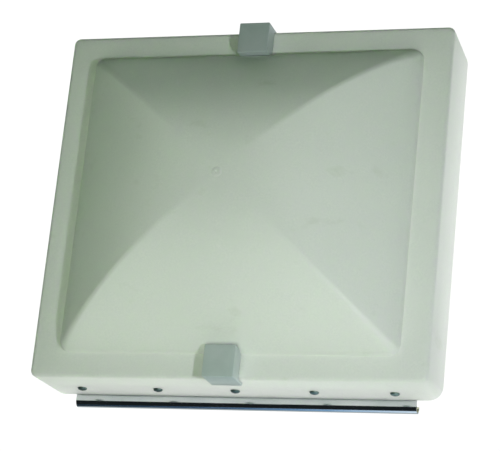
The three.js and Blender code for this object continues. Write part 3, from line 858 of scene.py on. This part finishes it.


# Reach, depth and strength of the painted highlight round the dome's foot.
SHEEN_REACH = 2.5  # mm to each side of the dome's foot
SHEEN_DEPTH = 0.1  # mm under the rim's top that still counts
SHEEN_SHARE = 0.45


def add_painted_foot_sheen(piece):
    """A mask round the dome's foot for a painted sheen: a paler colour there that stands for a highlight
    along the foot.
    """
    mesh = piece.data
    mask = mesh.attributes.new("painted_foot_sheen", "FLOAT", "POINT")
    for vertex in mesh.vertices:
        x, y, z = vertex.co / MM
        beyond = max(abs(x) - (HALF_WIDTH - RIM_SIDE), abs(y - LID_CENTRE_Y) - (HALF_LENGTH - RIM_END))
        low = max(0, 1 - max(0, z - RIM_TOP) / DOME_STEP)
        near = max(0, 1 - abs(beyond) / SHEEN_REACH) if z > RIM_TOP - SHEEN_DEPTH else 0
        mask.data[vertex.index].value = SHEEN_SHARE * low * near


lid = put("lid_shell", lid_shell(), lid_plastic())
# Paints a highlight round the dome's foot into the lid's colour.
add_painted_foot_sheen(lid)
zinc = plated_steel()
put("hinge_lid_strip", hinge_lid_strip(), zinc)
put("hinge_base_strip", hinge_base_strip(), passivated_steel(), "hinge_base")
rivet_finish = rivet_metal()
mandrel_finish = mandrel_steel()
for number, x in enumerate(row(RIVET_COUNT, RIVET_PITCH), 1):
    put(f"hinge_rivet_{number}", rivet(x), rivet_finish)
    put(f"rivet_mandrel_{number}", mandrel(x), mandrel_finish)
clip_finish = clear_plastic()
put("edge_clip_hinge_side", edge_clip(-1), clip_finish)
put("edge_clip_far_side", edge_clip(1), clip_finish)
put("lift_rail", lift_rail(), galvanised())
screw_finish = screw_steel()
for number, (end, y) in enumerate(every_screw()):
    side = "hinge_side" if end < 0 else "far_side"
    put(f"rail_screw_{side}_{number % len(SCREW_INSETS) + 1}", rail_screw(y), screw_finish)
put("lift_shoe", lift_shoe(), nylon(), "lift_shoe")

# ---- Camera ----
LENS = 166.84  # mm
SENSOR_WIDTH = 36  # mm
CLIP_END = 50  # m
CAMERA_TURNS = (-6.03, -18.78, -19.04)  # degrees about Z, X and Y, from the lid to the camera
CAMERA_OFFSET = (-8.2, 24.29, -2320.23)  # mm, the rim's centre in the camera's frame

turns = [Matrix.Rotation(math.radians(a), 4, axis) for a, axis in zip(CAMERA_TURNS, "ZXY")]
offset = Matrix.Translation(Vector(CAMERA_OFFSET) * MM)
rim_centre = Vector((0, LID_CENTRE_Y, RIM_TOP)) * MM
camera = bpy.data.objects.new("camera", bpy.data.cameras.new("camera"))
camera.data.lens = LENS
camera.data.sensor_width = SENSOR_WIDTH
camera.data.clip_end = CLIP_END
lid_to_camera = offset @ turns[0] @ turns[1] @ turns[2] @ Matrix.Translation(-rim_centre)
camera.matrix_world = lid_to_camera.inverted()
scene.collection.objects.link(camera)
scene.camera = camera

# ---- Light and floor ----
# Each light's name, azimuth and elevation in degrees, distance and size in m, power in W and colour.
LIGHTS = [
    ("key", -32, 45, 1.0, 0.06, 3.45, (0.92, 0.92, 1.0)),
    ("soft", -92, 48, 1.2, 0.80, 4.75, (0.92, 1.0, 0.855)),
]


def add_light(name, azimuth, elevation, distance, size, power, colour):
    light = bpy.data.objects.new(name, bpy.data.lights.new(name, "AREA"))
    light.data.shape = "DISK"
    light.data.size = size
    light.data.energy = power
    light.data.color = colour
    level = math.cos(math.radians(elevation))
    turn = math.radians(azimuth)
    up = math.sin(math.radians(elevation))
    towards = Vector((level * math.cos(turn), level * math.sin(turn), up))
    light.location = rim_centre + towards * distance
    light.rotation_euler = towards.to_track_quat("Z", "Y").to_euler()
    light.visible_glossy = name == "key"  # the soft light would whiten the hinge roll
    scene.collection.objects.link(light)


for light in LIGHTS:
    add_light(*light)


class Stage:
    """A node tree that shows one thing to the camera, one in mirrors and one to everything else."""

    def __init__(self, tree, kind, output):
        self.tree = tree
        self.kind = kind
        self.paths = self.add("ShaderNodeLightPath")
        self.output = tree.nodes[output]

    def add(self, name):
        return self.tree.nodes.new(name)

    def light(self, colour, strength=1.0):
        node = self.add(self.kind)
        node.inputs["Strength"].default_value = strength
        if isinstance(colour, tuple):
            node.inputs["Color"].default_value = (*colour, 1)
        else:
            self.tree.links.new(colour, node.inputs["Color"])
        return node.outputs[0]

    def blend(self, share, otherwise, chosen):
        node = self.add("ShaderNodeMixShader")
        self.tree.links.new(share, node.inputs["Fac"])
        self.tree.links.new(otherwise, node.inputs[1])
        self.tree.links.new(chosen, node.inputs[2])
        return node.outputs["Shader"]

    def choose(self, ray, otherwise, chosen):
        return self.blend(self.paths.outputs[ray], otherwise, chosen)

    def ramp(self, source, low, high, stops):
        span = self.add("ShaderNodeMapRange")
        span.inputs["From Min"].default_value = low
        span.inputs["From Max"].default_value = high
        self.tree.links.new(source, span.inputs["Value"])
        ramp = self.add("ShaderNodeValToRGB")
        elements = ramp.color_ramp.elements
        while len(elements) < len(stops):
            elements.new(0.5)
        for element, (place, colour) in zip(elements, stops):
            element.position = place
            element.color = (*colour, 1)
        self.tree.links.new(span.outputs["Result"], ramp.inputs["Fac"])
        return ramp.outputs["Color"]

    def formula(self, operation, first, second):
        node = self.add("ShaderNodeMath")
        node.operation = operation
        for socket, value in zip(node.inputs, (first, second)):
            if isinstance(value, (int, float)):
                socket.default_value = value
            else:
                self.tree.links.new(value, socket)
        return node.outputs["Value"]

    def finish(self, seen, mirrored, lighting):
        shown = self.choose("Is Camera Ray", self.choose("Is Glossy Ray", lighting, mirrored), seen)
        self.tree.links.new(shown, self.output.inputs["Surface"])


# A blue window light low on the hinge side, brighter to the right, in an otherwise dark room.
WINDOW = [
    (0, (0.012, 0.025, 0.035)),
    (0.45, (0.04, 0.09, 0.16)),
    (0.75, (0.18, 0.36, 0.60)),
    (1, (0.75, 0.88, 1.0)),
]
WINDOW_SLANTS = (0.42, 0.25)  # X over Y of the directions where it is dark and where it is bright
WINDOW_TOP = (0.12, 0.26)  # height of the directions where it starts to fade and where it is gone
DARK_TO_LIGHT = [(0, (0, 0, 0)), (1, (1, 1, 1))]
LIGHT_TO_DARK = [(0, (1, 1, 1)), (1, (0, 0, 0))]
ROOM = (0.010, 0.013, 0.014)
BACKDROP = (0.93, 0.94, 0.94)
SKY = (0.003, 0.025, 0.003)
# The floor lights the skirt most, so it is brightest close to the lid.
FLOOR_LIGHT = [(0, (1.0, 1.0, 1.0)), (1, (0.14, 0.18, 0.14))]
FLOOR_BRIGHT = 0.24  # m from the middle of the floor, up to which it is at its brightest
FLOOR_DULL = 0.60  # and from which it is at its dullest
FLOOR_STRENGTH = 1.6
FLOOR_SEEN = 1.05
FLOOR_GREY = (0.42, 0.46, 0.47)
# The window that only mirrors see on the floor, in m: at the hinge it goes from dark to bright
# between -WINDOW_ALONG and WINDOW_ALONG along X, and further out that stretch slants sideways.
WINDOW_HINGE_Y = -0.19
WINDOW_ALONG = 0.18
WINDOW_SLOPE = -0.33
WINDOW_EDGE = (-0.208, -0.199)  # m along Y: window up to the first, grey floor from the second


def make_world():
    world = bpy.data.worlds.new("world")
    scene.world = world
    world.use_nodes = True
    world.node_tree.nodes.remove(world.node_tree.nodes["Background"])
    stage = Stage(world.node_tree, "ShaderNodeBackground", "World Output")
    parts = stage.add("ShaderNodeSeparateXYZ")
    stage.tree.links.new(stage.add("ShaderNodeTexCoord").outputs["Generated"], parts.inputs["Vector"])
    slant = stage.formula("DIVIDE", parts.outputs["X"], parts.outputs["Y"])
    window = stage.ramp(slant, *WINDOW_SLANTS, WINDOW)
    low = stage.ramp(parts.outputs["Z"], *WINDOW_TOP, LIGHT_TO_DARK)
    mirrored = stage.blend(low, stage.light(ROOM), stage.light(window))
    stage.finish(stage.light(BACKDROP), mirrored, stage.light(SKY))


def floor_material():
    """A lit white floor, darker and bluer where it is mirrored in the hinge roll."""
    material = bpy.data.materials.new("floor")
    material.use_nodes = True
    material.node_tree.nodes.remove(material.node_tree.nodes["Principled BSDF"])
    stage = Stage(material.node_tree, "ShaderNodeEmission", "Material Output")
    place = stage.add("ShaderNodeTexCoord").outputs["Object"]
    parts = stage.add("ShaderNodeSeparateXYZ")
    stage.tree.links.new(place, parts.inputs["Vector"])
    from_hinge = stage.formula("SUBTRACT", parts.outputs["Y"], WINDOW_HINGE_Y)
    slant = stage.formula("MULTIPLY", from_hinge, WINDOW_SLOPE)
    along = stage.formula("ADD", parts.outputs["X"], slant)
    window = stage.ramp(along, -WINDOW_ALONG, WINDOW_ALONG, WINDOW)
    near = stage.ramp(parts.outputs["Y"], *WINDOW_EDGE, DARK_TO_LIGHT)
    mirrored = stage.blend(near, stage.light(window), stage.light(FLOOR_GREY))
    reach = stage.add("ShaderNodeVectorMath")
    reach.operation = "LENGTH"
    stage.tree.links.new(place, reach.inputs[0])
    lighting = stage.ramp(reach.outputs["Value"], FLOOR_BRIGHT, FLOOR_DULL, FLOOR_LIGHT)
    seen = stage.light((1, 1, 1), FLOOR_SEEN)
    stage.finish(seen, mirrored, stage.light(lighting, FLOOR_STRENGTH))
    return material


make_world()
FLOOR_HALF = 4  # m
floor_mesh = bpy.data.meshes.new("floor")
corners = [(-FLOOR_HALF, -FLOOR_HALF, 0), (FLOOR_HALF, -FLOOR_HALF, 0)]
corners += [(FLOOR_HALF, FLOOR_HALF, 0), (-FLOOR_HALF, FLOOR_HALF, 0)]
floor_mesh.from_pydata(corners, [], [(0, 1, 2, 3)])
floor_mesh.materials.append(floor_material())
floor = bpy.data.objects.new("floor", floor_mesh)
scene.collection.objects.link(floor)

scene.view_settings.view_transform = "Standard"
